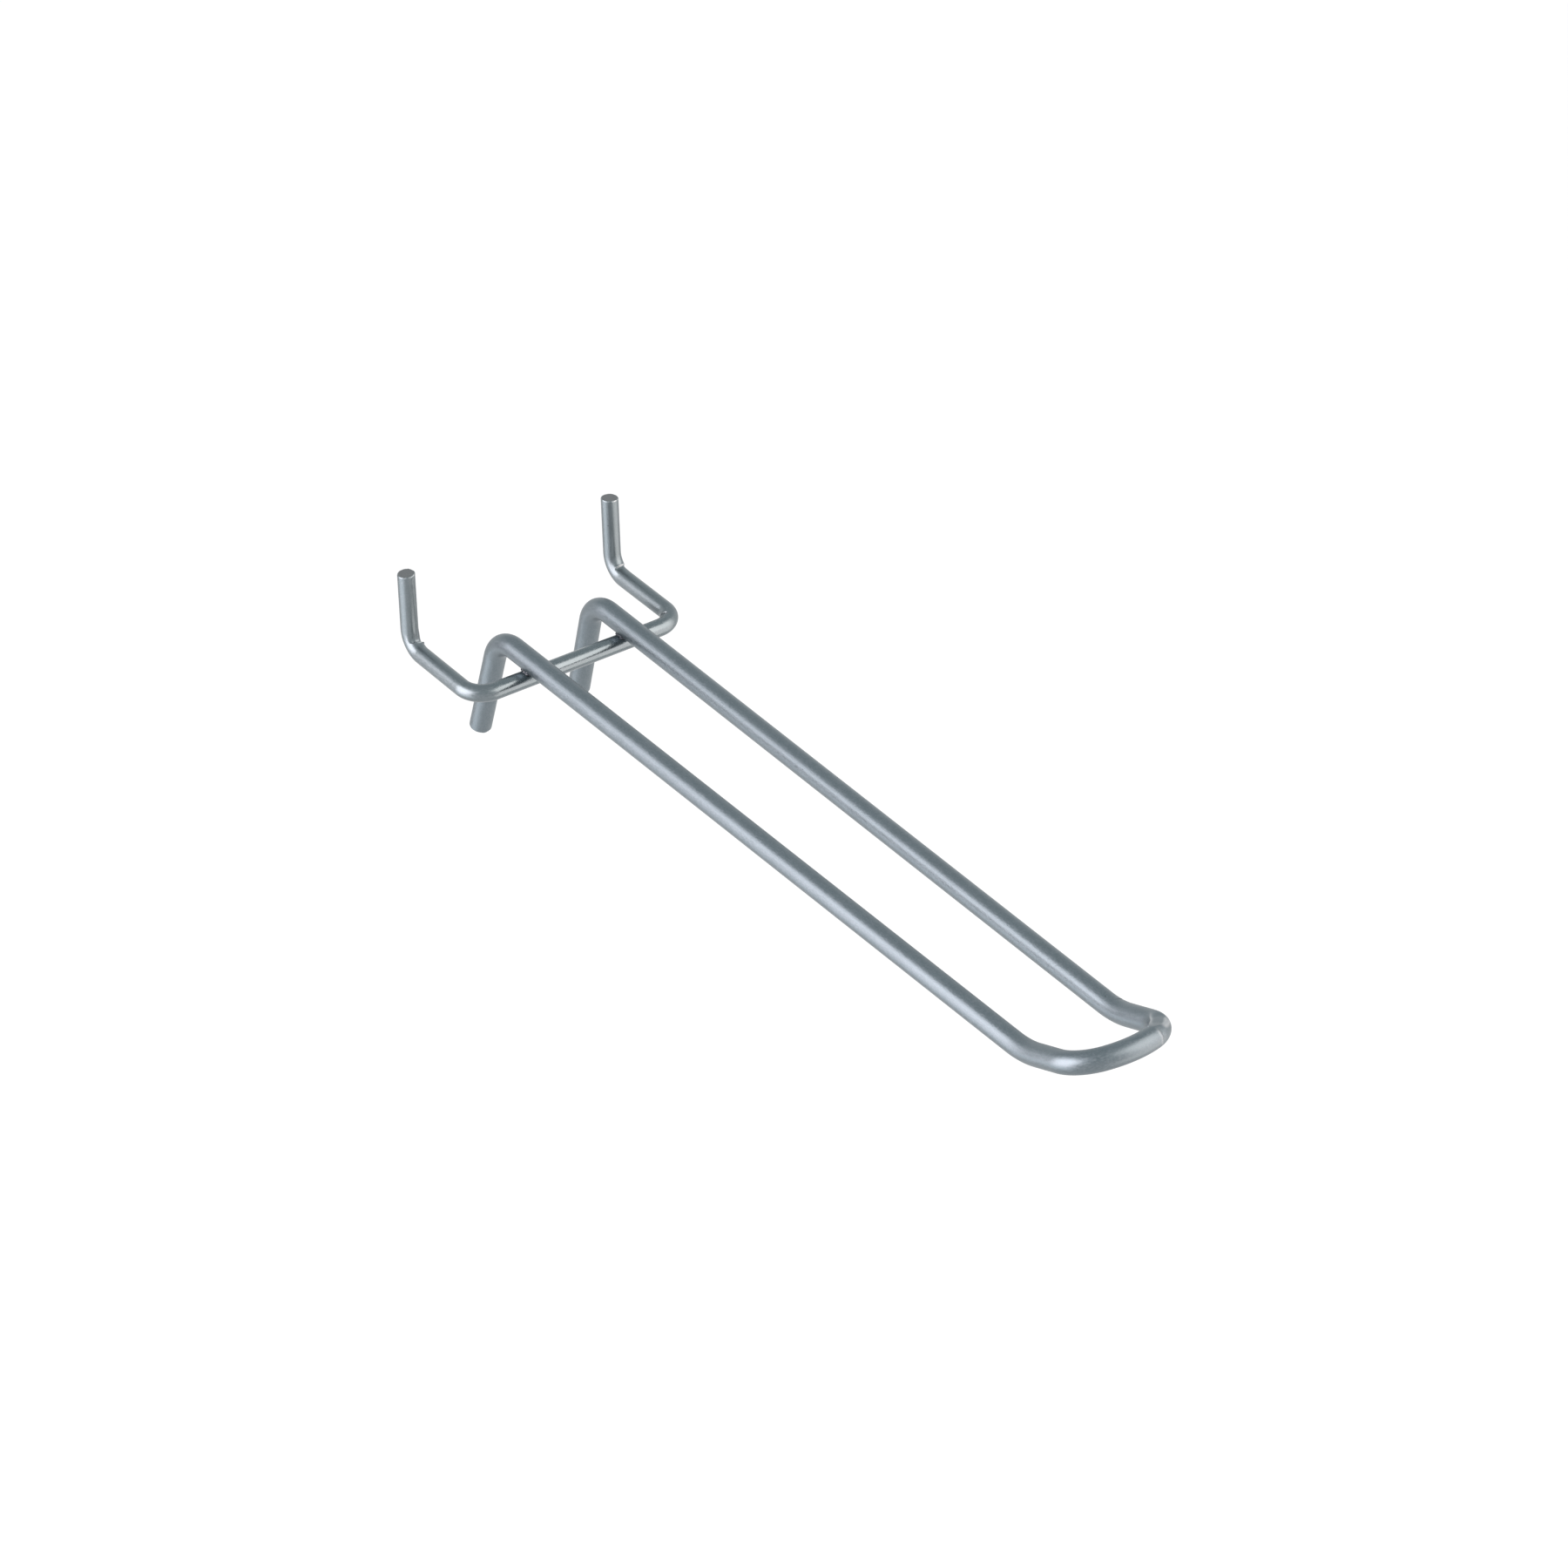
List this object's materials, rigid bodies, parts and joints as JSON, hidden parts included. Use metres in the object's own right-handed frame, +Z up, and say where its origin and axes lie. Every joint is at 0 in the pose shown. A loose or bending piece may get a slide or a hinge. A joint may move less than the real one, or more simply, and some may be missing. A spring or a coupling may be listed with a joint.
{
  "type": "pegboard hook",
  "caption": "Double-armed wire display hook with a raised round nose and two upturned pegs that hang it in a perforated board.",
  "frame": {"origin": "on the board's front face, where the legs' feet press, midway between the two pegs and at their axes' height", "axes": "+Y into the board, +Z up, X across from peg to peg; the arms reach out along -Y"},
  "size_m": [0.0546, 0.2149, 0.0398],
  "materials": {
    "loop_zinc": "satin zinc plating, blue-grey, finely grained along the wire",
    "peg_zinc": "bright zinc plating, smooth",
    "weld_metal": "rough, heat-darkened weld flash"
  },
  "bodies": {
    "root": {"loop_wire": "loop_zinc", "peg_wire": "peg_zinc", "weld_left": "weld_metal", "weld_right": "weld_metal"}
  },
  "joints": []
}
